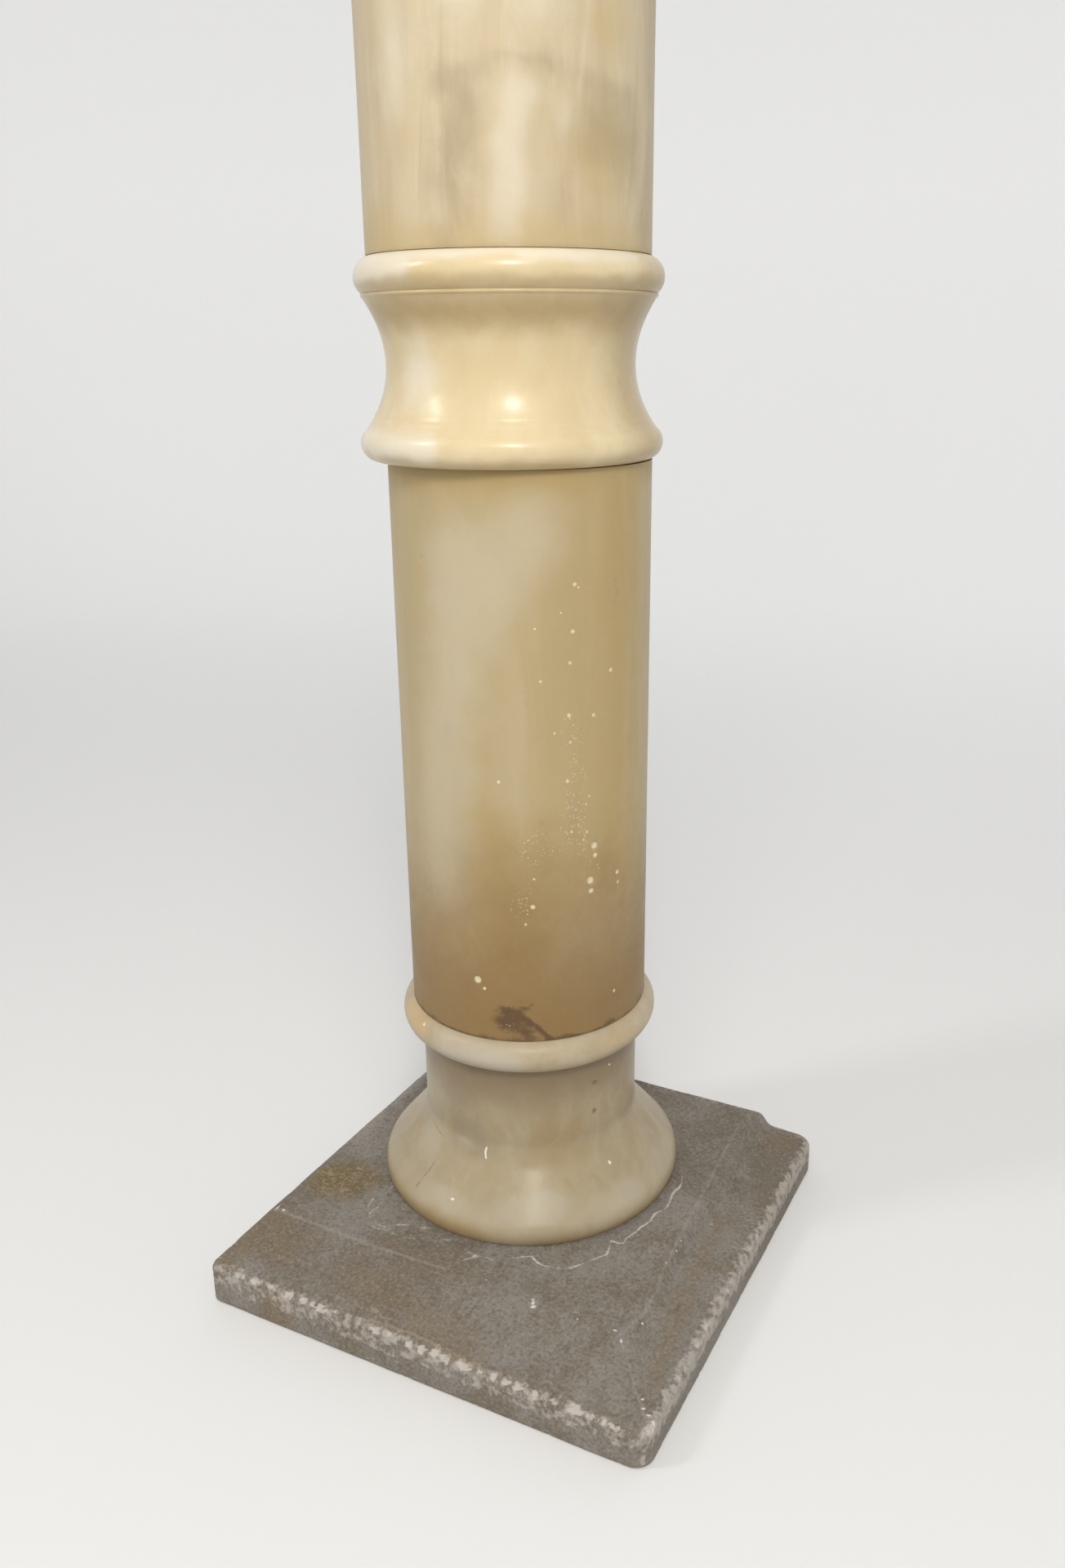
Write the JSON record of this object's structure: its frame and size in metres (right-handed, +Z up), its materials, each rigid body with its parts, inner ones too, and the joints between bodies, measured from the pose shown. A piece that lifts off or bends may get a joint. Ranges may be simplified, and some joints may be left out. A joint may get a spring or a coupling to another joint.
{
  "type": "alabaster pedestal column",
  "caption": "Round stone pedestal column with a beaded collar, a flared foot and a matching cap, on a square slab with lowered margins; holds up a vase, bust or lamp.",
  "frame": {"origin": "centre of the plinth's underside", "axes": "+Z up the column; X and Y along the plinth's sides, with the sloping margin on the -Y side and the stepped margin on the +X side"},
  "size_m": [0.3128, 0.3182, 1.1386],
  "materials": {
    "plinth_stone": "matt grey stone, honed by wear",
    "foot_alabaster": "polished grey-tan alabaster",
    "ring_alabaster": "polished pale alabaster",
    "lower_drum_alabaster": "polished tan alabaster with pits",
    "collar_alabaster": "highly polished cream alabaster",
    "upper_drum_alabaster": "polished cream alabaster with veins"
  },
  "bodies": {
    "root": {"plinth": "plinth_stone", "foot": "foot_alabaster", "lower_ring": "ring_alabaster", "lower_drum": "lower_drum_alabaster", "collar": "collar_alabaster", "upper_drum": "upper_drum_alabaster", "upper_ring": "ring_alabaster", "capital": "foot_alabaster"}
  },
  "joints": []
}
